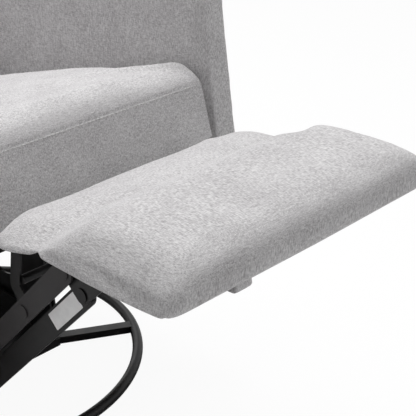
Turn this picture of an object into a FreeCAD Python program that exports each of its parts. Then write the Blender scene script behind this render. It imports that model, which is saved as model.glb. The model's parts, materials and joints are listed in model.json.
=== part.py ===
"""Swivel glider recliner: padded seat, arms and back on a gliding steel frame,
a round swivel base, and a footrest with a bridging flap on folding links.

Millimetres. The origin is on the floor at the swivel axis, +Z is up and the
chair faces -Y. Left and right pairs mirror in X.
"""
import FreeCAD, Part
import math
import os
import re

import Sketcher
from FreeCAD import Rotation, Vector

# Driving dimensions, all in millimetres, degrees or counts.
SIZES = {
    # round base
    "ring_radius": 305.5,
    "ring_tube": 19.0,
    "floor_flat": 0.5,
    "spoke_width": 20.0,
    "spoke_height": 14.0,
    "spoke_rise": 2.5,
    "spoke_angle": -30.5,
    "spoke_root": 40.0,
    "hub_half": 112.0,
    "hub_plate_thick": 4.0,
    # swivel bearing
    "ball_circle": 60.0,
    "ball_radius": 4.0,
    "ball_count": 12,
    "ball_gap": 0.15,
    "race_inner": 46.0,
    "race_outer": 74.0,
    "race_thick": 5.0,
    "groove_depth": 1.0,
    "king_bolt_radius": 8.0,
    "king_head_radius": 14.0,
    "king_head_thick": 7.0,
    # tray and uprights that turn with the chair
    "tray_half_width": 92.0,
    "tray_half_depth": 150.0,
    "tray_top": 60.0,
    "tray_thick": 4.0,
    "tray_lip": 14.0,
    "upright_thick": 4.0,
    "glide_half": 110.0,
    "glide_top": 215.0,
    "glide_link": 120.0,
    "glide_link_half": 12.0,
    "glide_link_thick": 4.0,
    "glide_gap": 2.0,
    "glide_head": 1.2,
    "upright_flare": 29.0,
    "upright_dip": 36.0,
    # steel chassis
    "cross_tube": 25.0,
    "cross_wall": 1.5,
    "tube_rim": 7.0,
    "plate_window": 43.0,
    "plate_eye": 21.6,
    "cross_front_y": -92.0,
    "cross_rear_y": 130.0,
    "cross_z": 250.0,
    "side_out": 230.0,
    "plate_thick": 3.0,
    "layer_step": 6.0,
    "pin_radius": 5.0,
    "pin_fit": 0.1,
    "pin_head": 9.0,
    "pin_head_thick": 1.5,
    "side_gap": 0.2,
    # arms
    "arm_inner": 252.5,
    "arm_thick": 60.0,
    "arm_bottom": 178.0,
    "arm_top": 690.0,
    "arm_front_low": 414.0,
    "arm_front_high": 341.0,
    "arm_rear": 240.0,
    "arm_rear_top": 664.0,
    "arm_corner": 26.0,
    "arm_foot_corner": 10.0,
    "arm_edge": 7.0,
    "arm_wall": 17.0,
    "arm_panel_thick": 25.0,
    "arm_panel_top": 636.0,
    "arm_panel_front": 318.0,
    "arm_panel_rear": 205.0,
    "panel_corner": 8.0,
    "soft_gap": 0.3,
    "cleat_front": -60.0,
    "cleat_rear": 150.0,
    "cleat_low": 240.0,
    "cleat_high": 284.0,
    "cleat_corner": 6.0,
    "cleat_end": 30.0,
    "arm_bolt_radius": 4.0,
    "arm_bolt_head": 5.0,
    "arm_bolt_pitch": 115.0,
    # seat, laid out along its own pitched plane
    "seat_front_y": -343.0,
    "seat_front_z": 545.0,
    "seat_pitch": 16.0,
    "seat_width": 498.0,
    "seat_depth": 522.0,
    "seat_crown": 39.0,
    "seat_cushion_drop": 40.0,
    "seat_waist": 5.0,
    "seat_edge_crown": 4.0,
    "seat_top_crown": 8.0,
    "front_panel_drop": 108.0,
    "front_panel_low": 146.0,
    "front_panel_thick": 42.0,
    "seat_frame_half": 208.0,
    "seat_rail_thick": 20.0,
    "seat_rail_high": 92.0,
    "seat_rail_low": 118.0,
    "seat_rail_end": 478.0,
    "rear_rail_low": 116.0,
    "webbing_width": 50.0,
    "webbing_thick": 3.0,
    "webbing_count": 5,
    "webbing_pitch": 74.0,
    "seat_pivot_y": 130.0,
    "seat_pivot_z": 300.0,
    "hinge_eye": 16.0,
    "hinge_reach": 85.0,
    "hinge_rise": 24.0,
    # back, laid out along its own leaning plane
    "back_pivot_y": 215.0,
    "back_pivot_z": 320.0,
    "back_lean": 30.0,
    "back_width": 496.0,
    "back_start": 46.0,
    "back_length": 700.0,
    "back_front": 62.0,
    "back_rear": 56.0,
    "back_lumbar": 18.0,
    "back_top_taper": 26.0,
    "back_waist": 4.0,
    "side_bulge": 3.0,
    "back_post_thick": 22.0,
    "back_post_depth": 38.0,
    "back_post_top": 610.0,
    "back_board_thick": 15.0,
    "back_bracket_length": 170.0,
    # footrest linkage
    "rear_pivot_y": -215.3,
    "rear_pivot_z": 335.0,
    "crank_reach": 149.7,
    "crank_drop": 74.0,
    "link_rise": 46.0,
    "main_link_length": 307.3,
    "tail_run": 50.0,
    "tail_rise": 30.0,
    "strap_station": 186.4,
    "link_spacing": 34.0,
    "stay_pivot_y": -163.7,
    "stay_pivot_z": 325.2,
    "crank_half": 9.0,
    "main_link_half": 15.0,
    "lower_link_half": 16.0,
    "stay_half": 8.0,
    "stay_hole_room": 2.2,
    "stay_eye": 11.0,
    "bracket_eye": 12.0,
    "bracket_edge": 8.0,
    "bracket_heel": 40.0,
    "bracket_toe": 60.0,
    # footrest pad
    "pad_width": 500.0,
    "pad_bottom": 501.0,
    "pad_thick": 57.0,
    "pad_rear_y": -543.0,
    "pad_front_y": -775.0,
    "pad_crown": 4.0,
    "pad_corner": 14.0,
    "pad_nose": 17.0,
    "pad_nose_bulge": 17.0,
    "pad_heel": 11.0,
    "pad_roll": 70.0,
    "pad_roll_bulge": 8.0,
    "pad_board_thick": 10.0,
    "pad_board_inset": 26.0,
    # flap that bridges seat and pad
    "flap_rear_y": -428.0,
    "flap_rear_z": 478.0,
    "flap_slope": 14.3,
    "flap_depth": 113.0,
    "flap_thick": 24.0,
    "flap_edge_thick": 12.0,
    "flap_half": 247.0,
    "flap_straight": 188.0,
    "flap_corner": 52.0,
    "flap_nose_bulge": 5.0,
    "flap_rear_bulge": 7.0,
    "flap_top_bulge": 2.0,
    "flap_board_thick": 6.0,
    "flap_board_half": 228.0,
    "flap_board_front": 91.0,
    "flap_board_rear": 30.0,
    "strap_half": 6.0,
    "strap_front": 100.0,
    "strap_rear": 34.0,
    "strap_lap": 80.0,
    "strap_lap_start": 17.0,
    "strap_inset": 10.0,
    "support_half": 9.0,
    "support_eye": 12.0,
    "support_knee_y": 21.0,
    "support_knee_z": 28.0,
    "support_foot": 48.0,
    "flap_tube": 12.0,
    "flap_tube_y": 9.5,
    "flap_tube_z": 38.0,
}

doc = FreeCAD.newDocument("SwivelGliderRecliner")
sheet = doc.addObject("Spreadsheet::Sheet", "Sizes")
for row, (alias, value) in enumerate(SIZES.items(), start=1):
    sheet.set("A%d" % row, alias)
    sheet.set("B%d" % row, str(value))
    sheet.setAlias("B%d" % row, alias)
doc.recompute()

SIDES = {"left": 1, "right": -1}
nodes = []


def full(text):
    """Spell out the sheet's name before each size that an expression uses."""
    def spell(word):
        name = word.group()
        return "Sizes." + name if name in SIZES else name
    return re.sub(r"[a-z]\w*", spell, str(text))


def num(text):
    """The present value of an expression."""
    return float(sheet.evalExpression(full(text)))


def bind(item, prop, text):
    item.setExpression(prop, full(text))


def node(item, name):
    """Name a finished sub-part: its label is its file's name."""
    item.Label = name
    nodes.append(item)
    return item


def new_body(name):
    return doc.addObject("PartDesign::Body", name)


def place(item, y="0", z="0", tilt="0"):
    """Stand a sub-part on its own plane: turned about X, then moved."""
    item.Placement.Rotation = Rotation(Vector(1, 0, 0), 1)
    bind(item, "Placement.Rotation.Angle", tilt)
    bind(item, "Placement.Base.y", y)
    bind(item, "Placement.Base.z", z)


def new_sketch(body, plane, offset="0"):
    """A sketch on one of the body's origin planes, moved along the normal."""
    sketch = body.newObject("Sketcher::SketchObject", body.Name + "_sketch")
    support = [item for item in body.Origin.OriginFeatures if item.Role == plane][0]
    sketch.AttachmentSupport = [(support, "")]
    sketch.MapMode = "FlatFace"
    bind(sketch, "AttachmentOffset.Base.z", offset)
    return sketch


def fix(sketch, kind, parts, text):
    """A dimension in a sketch, driven by an expression."""
    index = sketch.addConstraint(Sketcher.Constraint(kind, *parts, num(text)))
    bind(sketch, "Constraints[%d]" % index, text)


def fix_point(sketch, geometry, position, point):
    fix(sketch, "DistanceX", (-1, 1, geometry, position), point[0])
    fix(sketch, "DistanceY", (-1, 1, geometry, position), point[1])


def circles(sketch, centres, radius):
    for centre in centres:
        middle = Vector(num(centre[0]), num(centre[1]), 0)
        index = sketch.addGeometry(Part.Circle(middle, Vector(0, 0, 1), num(radius)))
        fix_point(sketch, index, 3, centre)
        fix(sketch, "Radius", (index,), radius)


def hull(sketch, corners):
    """A belt round several corner circles, given counter-clockwise as
    (first, second, radius): arcs joined by tangent lines."""
    middles = [Vector(num(c[0]), num(c[1]), 0) for c in corners]
    radii = [num(c[2]) for c in corners]
    count = len(corners)
    normals = []
    for i in range(count):
        j = (i + 1) % count
        run = middles[j] - middles[i]
        lean = (radii[i] - radii[j]) / run.Length
        run.normalize()
        outward = Vector(run.y, -run.x, 0)
        normals.append(outward * math.sqrt(1 - lean * lean) + run * lean)
    arcs = []
    for i in range(count):
        start = math.atan2(normals[i - 1].y, normals[i - 1].x)
        end = math.atan2(normals[i].y, normals[i].x)
        circle = Part.Circle(middles[i], Vector(0, 0, 1), radii[i])
        arcs.append(sketch.addGeometry(Part.ArcOfCircle(circle, start, end)))
    for i in range(count):
        j = (i + 1) % count
        first = middles[i] + normals[i] * radii[i]
        second = middles[j] + normals[i] * radii[j]
        line = sketch.addGeometry(Part.LineSegment(first, second))
        sketch.addConstraint(Sketcher.Constraint("Tangent", arcs[i], 2, line, 1))
        sketch.addConstraint(Sketcher.Constraint("Tangent", line, 2, arcs[j], 1))
    for arc, corner in zip(arcs, corners):
        fix_point(sketch, arc, 3, corner)
        fix(sketch, "Radius", (arc,), corner[2])


def outline(sketch, points, bulges=None):
    """A closed outline through corner points, counter-clockwise. A bulge makes
    the side after its point an arc that stands that far out from its chord."""
    bulges = bulges or {}
    spots = [Vector(num(p[0]), num(p[1]), 0) for p in points]
    count = len(points)
    sides = []
    for i in range(count):
        first = spots[i]
        second = spots[(i + 1) % count]
        side = Part.LineSegment(first, second)
        if i in bulges:
            run = second - first
            outward = Vector(run.y, -run.x, 0).normalize()
            side = Part.Arc(first, (first + second) * 0.5 + outward * num(bulges[i]), second)
        sides.append(sketch.addGeometry(side))
    for i in range(count):
        j = (i + 1) % count
        sketch.addConstraint(Sketcher.Constraint("Coincident", sides[i], 2, sides[j], 1))
        fix_point(sketch, sides[i], 1, points[i])
        if i in bulges:
            chord = "((%s) - (%s))^2 + ((%s) - (%s))^2" % (
                points[j][0], points[i][0], points[j][1], points[i][1])
            radius = "((%s) / 4 + (%s)^2) / (2 * (%s))" % (chord, bulges[i], bulges[i])
            fix(sketch, "Radius", (sides[i],), radius)


def pad(body, sketch, length):
    feature = body.newObject("PartDesign::Pad", body.Name + "_pad")
    feature.Profile = sketch
    bind(feature, "Length", length)
    return feature


def pocket(body, sketch, length, upward=False):
    """A cut from the sketch, against its normal unless it goes upward."""
    doc.recompute()
    before = body.Shape.Volume
    feature = body.newObject("PartDesign::Pocket", body.Name + "_pocket")
    feature.Profile = sketch
    feature.Reversed = upward
    bind(feature, "Length", length)
    doc.recompute()
    if body.Shape.Volume > before - 1:
        raise ValueError("a pocket of %s cuts nothing" % body.Name)
    return feature


def loft(body, sections):
    feature = body.newObject("PartDesign::AdditiveLoft", body.Name + "_loft")
    feature.Profile = sections[0]
    feature.Sections = sections[1:]
    feature.Ruled = True
    return feature


def start_of(near, far, side):
    """Where a slab between two distances from the middle starts along X."""
    return near if side > 0 else "-(%s)" % far


def slab(name, corners, holes, near, far, side):
    """A flat plate in the YZ plane with rounded corners and round holes, each
    hole (y, z, radius), between two distances from the chair's middle."""
    body = new_body(name)
    sketch = new_sketch(body, "YZ_Plane", start_of(near, far, side))
    hull(sketch, corners)
    for y, z, radius in holes:
        circles(sketch, [(y, z)], radius)
    pad(body, sketch, "(%s) - (%s)" % (far, near))
    return body


def disc(body, centres, radius, near, far, side):
    """Round studs on a plate, joined to it."""
    sketch = new_sketch(body, "YZ_Plane", start_of(near, far, side))
    circles(sketch, centres, radius)
    pad(body, sketch, "(%s) - (%s)" % (far, near))


def rivets(body, centres, face, side, gap="layer_step - plate_thick"):
    """Shouldered rivets that stand inward from a plate's inner face, pass the
    next plate and end in a head."""
    seat = "(%s) - (%s) - plate_thick - side_gap" % (face, gap)
    disc(body, centres, "pin_radius", "%s - pin_head_thick" % seat, face, side)
    disc(body, centres, "pin_head - 1", "(%s) - (%s) + side_gap" % (face, gap), face, side)
    disc(body, centres, "pin_head", "%s - pin_head_thick" % seat, seat, side)
    outer = "(%s) + plate_thick" % face
    disc(body, centres, "pin_head", outer, outer + " + pin_head_thick", side)


def solid(kind, name, **sizes):
    """A primitive with each size bound to the sheet."""
    item = doc.addObject("Part::" + kind, name)
    for prop, text in sizes.items():
        bind(item, prop, text)
    return item


def cut(name, base, tool):
    item = doc.addObject("Part::Cut", name)
    item.Base = base
    item.Tool = tool
    return item


def fuse(name, pieces):
    item = doc.addObject("Part::MultiFuse", name)
    item.Shapes = pieces
    return item


def group(name, pieces):
    item = doc.addObject("Part::Compound", name)
    item.Links = pieces
    return item


def upright_cylinder(name, radius, low, high):
    item = solid("Cylinder", name, Radius=radius, Height="(%s) - (%s)" % (high, low))
    bind(item, "Placement.Base.z", low)
    return item


def cross_cylinder(name, radius, near, far, y, z):
    """A cylinder along X."""
    item = solid("Cylinder", name, Radius=radius, Height="(%s) - (%s)" % (far, near))
    item.Placement.Rotation = Rotation(Vector(0, 1, 0), 90)
    bind(item, "Placement.Base.x", near)
    bind(item, "Placement.Base.y", y)
    bind(item, "Placement.Base.z", z)
    return item


def block(name, x, y, z):
    """A box between low and high values on each axis."""
    item = solid("Box", name)
    for prop, axis, span in (("Length", "x", x), ("Width", "y", y), ("Height", "z", z)):
        bind(item, prop, "(%s) - (%s)" % (span[1], span[0]))
        bind(item, "Placement.Base." + axis, span[0])
    return item


# Heights and layers that several pieces share.
RING_Z = "(ring_tube / 2 - floor_flat)"
SPOKE_TOP = "(spoke_rise + spoke_height)"
HUB_TOP = "(%s + hub_plate_thick)" % SPOKE_TOP
BALL_Z = "(%s + race_thick - groove_depth + ball_gap + ball_radius)" % HUB_TOP
UPPER_RACE = "(%s + ball_radius + ball_gap - groove_depth)" % BALL_Z
BOSS_LOW = "(%s + race_thick)" % UPPER_RACE
GLIDE_LOW = "(glide_top - glide_link)"
LINK_IN = "(tray_half_width + glide_gap)"
LINK_OUT = "(%s + glide_link_thick)" % LINK_IN
GLIDE_IN = "(%s + glide_gap)" % LINK_OUT
GLIDE_OUT = "(%s + upright_thick)" % GLIDE_IN
OUTER_IN = "(side_out - plate_thick)"
MIDDLE_OUT = "(side_out - layer_step)"
MIDDLE_IN = "(side_out - layer_step - plate_thick)"
INNER_OUT = "(side_out - 2 * layer_step)"
INNER_IN = "(side_out - 2 * layer_step - plate_thick)"
PIN_HOLE = "pin_radius + pin_fit"
PANEL_IN = "(arm_inner + arm_wall + soft_gap)"
PANEL_OUT = "(%s + arm_panel_thick)" % PANEL_IN
# An ear's round end stays just under a half circle.
EAR_BULGE = "0.98 * glide_link_half"

# Pivots and bolts of the seat, the back and the arms, in the YZ plane.
SEAT_PIVOT = ("seat_pivot_y", "seat_pivot_z")
BACK_PIVOT = ("back_pivot_y", "back_pivot_z")
BOLT_HOLE = "arm_bolt_radius + pin_fit"
BOLT_Z = "((cleat_low + cleat_high) / 2)"
BOLT_PLACES = [("(cleat_front + cleat_end + %d * arm_bolt_pitch)" % i, BOLT_Z) for i in (0, 1)]

# Pivots of the footrest linkage, in the YZ plane at rest.
REAR_PIVOT = ("rear_pivot_y", "rear_pivot_z")
STAY_PIVOT = ("stay_pivot_y", "stay_pivot_z")
ELBOW = ("(rear_pivot_y - crank_reach)", "(rear_pivot_z - crank_drop)")


def along_link(point, distance):
    """A point further up the main link's direction."""
    return ("(%s - (%s) * cos(link_rise))" % (point[0], distance),
            "(%s + (%s) * sin(link_rise))" % (point[1], distance))


LOWER_ELBOW = ("(%s - link_spacing * sin(link_rise))" % ELBOW[0],
               "(%s - link_spacing * cos(link_rise))" % ELBOW[1])
TAIL_FOOT = along_link(ELBOW, "-tail_run")
TAIL = ("(%s + tail_rise * sin(link_rise))" % TAIL_FOOT[0],
        "(%s + tail_rise * cos(link_rise))" % TAIL_FOOT[1])
STRAP_PIVOT = along_link(ELBOW, "strap_station")
PAD_PIVOT = along_link(ELBOW, "main_link_length")
LOWER_PAD_PIVOT = along_link(LOWER_ELBOW, "main_link_length")


def base_pieces():
    """Round floor ring, four spokes, hub plate, thrust bearing and king bolt."""
    torus = solid("Torus", "ring_torus", Radius1="ring_radius", Radius2="ring_tube / 2")
    bind(torus, "Placement.Base.z", RING_Z)
    reach = "(ring_radius + ring_tube)"
    below = block("floor_cut", ("-" + reach, reach), ("-" + reach, reach), ("-ring_tube", "0"))
    node(cut("ring", torus, below), "base_ring")
    spokes = []
    for turn in range(4):
        bar = solid("Box", "spoke_bar_%d" % turn, Length="ring_radius - spoke_root",
                    Width="spoke_width", Height="spoke_height")
        angle = "(spoke_angle + %d)" % (90 * turn)
        bar.Placement.Rotation = Rotation(Vector(0, 0, 1), 1)
        bind(bar, "Placement.Rotation.Angle", angle)
        turned = (angle, angle)
        bind(bar, "Placement.Base.x", "spoke_root * cos(%s) + spoke_width / 2 * sin(%s)" % turned)
        bind(bar, "Placement.Base.y", "spoke_root * sin(%s) - spoke_width / 2 * cos(%s)" % turned)
        bind(bar, "Placement.Base.z", "spoke_rise")
        rim = solid("Torus", "spoke_end_%d" % turn, Radius1="ring_radius",
                    Radius2="ring_tube / 2 + pin_fit")
        bind(rim, "Placement.Base.z", RING_Z)
        spokes.append(cut("spoke_%d" % turn, bar, rim))
    node(group("spokes", spokes), "base_spokes")
    body = new_body("hub")
    sketch = new_sketch(body, "XY_Plane", SPOKE_TOP)
    reach = "(sqrt(2) * (hub_half - spoke_width))"
    corners = []
    for turn in range(4):
        angle = "(spoke_angle + %d)" % (90 * turn)
        corners.append(("%s * cos(%s)" % (reach, angle), "%s * sin(%s)" % (reach, angle), "spoke_width"))
    hull(sketch, corners)
    circles(sketch, [("0", "0")], "king_bolt_radius + pin_fit")
    pad(body, sketch, "hub_plate_thick")
    node(body, "hub_plate")
    race("lower", HUB_TOP)
    balls = []
    for index in range(int(num("ball_count"))):
        ball = solid("Sphere", "ball_%d" % index, Radius="ball_radius")
        angle = "(360 / ball_count * %d)" % index
        bind(ball, "Placement.Base.x", "ball_circle * cos(%s)" % angle)
        bind(ball, "Placement.Base.y", "ball_circle * sin(%s)" % angle)
        bind(ball, "Placement.Base.z", BALL_Z)
        balls.append(ball)
    node(group("balls", balls), "bearing_balls")
    nut_low = "(tray_top + side_gap)"
    head = upright_cylinder("king_head", "king_head_radius", SPOKE_TOP + " - king_head_thick", SPOKE_TOP)
    nut_high = "%s + king_head_thick" % nut_low
    shank = upright_cylinder("king_shank", "king_bolt_radius", SPOKE_TOP + " - king_head_thick", nut_high)
    nut = upright_cylinder("king_nut", "king_head_radius", nut_low, nut_high)
    node(fuse("king", [head, shank, nut]), "king_bolt")


def race(name, low):
    """One race of the swivel's thrust bearing, with its ball groove."""
    high = "%s + race_thick" % low
    ring = cut(name + "_ring", upright_cylinder(name + "_disc", "race_outer", low, high),
               upright_cylinder(name + "_bore", "race_inner", low, high))
    groove = solid("Torus", name + "_groove", Radius1="ball_circle", Radius2="ball_radius + ball_gap")
    bind(groove, "Placement.Base.z", BALL_Z)
    node(cut(name + "_race", ring, groove), "bearing_%s_race" % name)


def swivel_pieces():
    """Upper race, tray and the two uprights that the glide links hang from."""
    race("upper", UPPER_RACE)
    body = new_body("tray")
    sketch = new_sketch(body, "YZ_Plane", "-tray_half_width")
    low = "tray_top - tray_lip"
    under = "tray_top - tray_thick"
    inset = "tray_half_depth - tray_thick"
    outline(sketch, [("-tray_half_depth", low), ("-(%s)" % inset, low), ("-(%s)" % inset, under),
                     (inset, under), (inset, low), ("tray_half_depth", low),
                     ("tray_half_depth", "tray_top"), ("-tray_half_depth", "tray_top")])
    pad(body, sketch, "2 * tray_half_width")
    boss = new_sketch(body, "XY_Plane", BOSS_LOW)
    circles(boss, [("0", "0")], "race_outer")
    circles(boss, [("0", "0")], "race_inner")
    pad(body, boss, "%s - %s" % (under, BOSS_LOW))
    hole = new_sketch(body, "XY_Plane", "tray_top")
    circles(hole, [("0", "0")], "king_bolt_radius + pin_fit")
    pocket(body, hole, "tray_thick")
    node(body, "glide_tray")
    ears = [("-glide_half", "glide_top"), ("glide_half", "glide_top")]
    for label, side in SIDES.items():
        body = new_body("upright_" + label)
        near = "(tray_half_width - upright_thick)"
        sketch = new_sketch(body, "YZ_Plane", start_of(near, "tray_half_width", side))
        notch = "(glide_half - 2 * glide_link_half)"
        foot = "(glide_half + upright_flare)"
        tip = "(glide_half + glide_link_half)"
        dip = "(tray_top + upright_dip)"
        outline(sketch, [("-" + foot, "tray_top"), (foot, "tray_top"), (tip, "glide_top"),
                         ("glide_half - glide_link_half", "glide_top"), (notch, dip), ("-" + notch, dip),
                         ("-(glide_half - glide_link_half)", "glide_top"), ("-" + tip, "glide_top")],
                {2: EAR_BULGE, 6: EAR_BULGE})
        pad(body, sketch, "upright_thick")
        tail = "%s + side_gap + glide_head" % LINK_OUT
        disc(body, ears, "pin_radius", "tray_half_width", tail, side)
        disc(body, ears, "pin_head", "tray_half_width", "%s - side_gap" % LINK_IN, side)
        disc(body, ears, "pin_head", "%s + side_gap" % LINK_OUT, tail, side)
        node(body, "glide_upright_" + label)


def glide_links():
    """Four hanging links. Each has the pin that the chassis hangs on."""
    shoulder = "%s - side_gap" % GLIDE_IN
    head = "%s + side_gap" % GLIDE_OUT
    tail = "%s + pin_head_thick" % head
    for end, sign in (("front", "-"), ("rear", "")):
        y = sign + "glide_half"
        ends = [(y, GLIDE_LOW, "glide_link_half"), (y, "glide_top", "glide_link_half")]
        for label, side in SIDES.items():
            body = slab("%s_glide_%s" % (end, label), ends, [(y, "glide_top", PIN_HOLE)],
                        LINK_IN, LINK_OUT, side)
            pin = [(y, GLIDE_LOW)]
            disc(body, pin, "pin_head", LINK_OUT, shoulder, side)
            disc(body, pin, "pin_radius", LINK_OUT, tail, side)
            disc(body, pin, "pin_head", head, tail, side)
            node(body, "glide_link_%s_%s" % (end, label))


def chassis_pieces():
    """Glide plates, cross tubes, side plates, and the cleats for the arms."""
    tube_ends = (("front", "cross_front_y"), ("rear", "cross_rear_y"))
    lower = [("-glide_half", GLIDE_LOW), ("glide_half", GLIDE_LOW)]
    rim = "(cross_tube / 2 + tube_rim)"
    for label, side in SIDES.items():
        corners = [(y, z, "plate_eye") for y, z in lower]
        corners += [("cross_rear_y", "cross_z", rim), ("cross_front_y", "cross_z", rim)]
        holes = [(y, "cross_z", "cross_tube / 2 + pin_fit") for _, y in tube_ends]
        middle = "((cross_front_y + cross_rear_y) / 4)"
        holes.append((middle, "((cross_z + %s) / 2)" % GLIDE_LOW, "plate_window"))
        holes += [(y, z, PIN_HOLE) for y, z in lower]
        body = slab("glide_plate_" + label, corners, holes, GLIDE_IN, GLIDE_OUT, side)
        node(body, "glide_plate_" + label)
    ends = ("-" + OUTER_IN, OUTER_IN)
    for end, y in tube_ends:
        outer = cross_cylinder(end + "_tube", "cross_tube / 2", *ends, y, "cross_z")
        bore = cross_cylinder(end + "_bore", "cross_tube / 2 - cross_wall", *ends, y, "cross_z")
        node(cut(end + "_cross", outer, bore), "cross_tube_" + end)
    bolt_holes = [(y, z, BOLT_HOLE) for y, z in BOLT_PLACES]
    seat_gap = "%s - seat_frame_half - plate_thick" % OUTER_IN
    for label, side in SIDES.items():
        corners = [REAR_PIVOT + ("plate_eye",), ("cross_front_y", "cross_z", rim),
                   ("cross_rear_y", "cross_z", rim), BACK_PIVOT + ("plate_eye",)]
        body = slab("side_plate_" + label, corners, bolt_holes, OUTER_IN, "side_out", side)
        rivets(body, [REAR_PIVOT, STAY_PIVOT, BACK_PIVOT], OUTER_IN, side)
        rivets(body, [SEAT_PIVOT], OUTER_IN, side, seat_gap)
        node(body, "side_plate_" + label)
        low = "cleat_low + cleat_corner"
        high = "cleat_high - cleat_corner"
        corners = [("cleat_front", low), ("cleat_rear", low), ("cleat_rear", high), ("cleat_front", high)]
        cleat = slab("cleat_" + label, [(y, z, "cleat_corner") for y, z in corners], bolt_holes,
                     "side_out", "arm_inner - soft_gap", side)
        node(cleat, "arm_cleat_" + label)
    arm_bolts()


def arm_bolts():
    """Bolts through each side plate and cleat into the arm's panel."""
    bolts = []
    seat = "(%s - side_gap)" % OUTER_IN
    head_in = "(%s - arm_bolt_head)" % seat
    for label, side in SIDES.items():
        for index, (y, z) in enumerate(BOLT_PLACES):
            tag = "_%s_%d" % (label, index)
            shank = cross_cylinder("bolt" + tag, "arm_bolt_radius", start_of(seat, PANEL_OUT, side),
                                   start_of(PANEL_OUT, seat, side), y, z)
            head = cross_cylinder("bolt_head" + tag, "2 * arm_bolt_radius", start_of(head_in, seat, side),
                                  start_of(seat, head_in, side), y, z)
            bolts.append(fuse("arm_bolt" + tag, [shank, head]))
    node(group("bolts", bolts), "arm_bolts")


def arm_pieces():
    """Upholstered arms, each a padded cover drawn over a wooden panel."""
    arm_out = "(arm_inner + arm_thick)"
    foot = "arm_bottom + arm_foot_corner"
    outer_corners = [("-(arm_front_low - arm_foot_corner)", foot, "arm_foot_corner"),
                     ("arm_rear - arm_foot_corner", foot, "arm_foot_corner"),
                     ("arm_rear - arm_corner", "arm_rear_top - arm_corner", "arm_corner"),
                     ("-(arm_front_high - arm_corner)", "arm_top - arm_corner", "arm_corner")]
    panel_low = "arm_bottom + soft_gap + panel_corner"
    panel_high = "arm_panel_top - panel_corner"
    panel_ends = ("-(arm_panel_front - panel_corner)", "arm_panel_rear - panel_corner")
    panel_corners = [(panel_ends[0], panel_low), (panel_ends[1], panel_low),
                     (panel_ends[1], panel_high), (panel_ends[0], panel_high)]
    for label, side in SIDES.items():
        cover = slab("arm_cover_" + label, outer_corners, [],
                     "arm_inner", arm_out, side)
        slot = new_sketch(cover, "XY_Plane", "arm_bottom")
        inside = "(arm_inner + arm_wall)"
        outside = "(%s + soft_gap)" % PANEL_OUT
        near = start_of(inside, outside, side)
        far = start_of(outside, inside, side)
        front = "-(arm_panel_front + soft_gap)"
        rear = "arm_panel_rear + soft_gap"
        outline(slot, [(near, front), (far, front), (far, rear), (near, rear)])
        pocket(cover, slot, "arm_panel_top + soft_gap - arm_bottom", upward=True)
        holes = new_sketch(cover, "YZ_Plane", start_of("arm_inner", inside, side))
        circles(holes, BOLT_PLACES, BOLT_HOLE)
        pocket(cover, holes, "arm_wall", upward=True)
        edge_round(cover, "arm_edge", arm_out, side)
        node(cover, "arm_cover_" + label)
        panel = slab("arm_panel_" + label, [(y, z, "panel_corner") for y, z in panel_corners],
                     [(y, z, BOLT_HOLE) for y, z in BOLT_PLACES], PANEL_IN, PANEL_OUT, side)
        node(panel, "arm_panel_" + label)


def edge_round(body, radius, outer, side):
    """Soften the outline edges of an arm on its inner and outer faces."""
    doc.recompute()
    faces = (side * num("arm_inner"), side * num(outer))
    picked = []
    for index, edge in enumerate(body.Shape.Edges, start=1):
        box = edge.BoundBox
        flat = box.XLength < 0.01 and min(abs(box.XMin - x) for x in faces) < 0.01
        if flat and box.DiagonalLength > 4 * num("arm_bolt_radius"):
            picked.append("Edge%d" % index)
    sharp = body.Tip
    feature = body.newObject("PartDesign::Fillet", body.Name + "_fillet")
    feature.Base = (sharp, picked)
    bind(feature, "Radius", radius)


def section(body, plane, offset, points, bulges):
    sketch = new_sketch(body, plane, offset)
    outline(sketch, points, bulges)
    return sketch


def on_seat(item):
    """Lay a piece on the seat's pitched plane: Y runs back, Z stands up."""
    place(item, "seat_front_y", "seat_front_z", "-seat_pitch")


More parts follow.
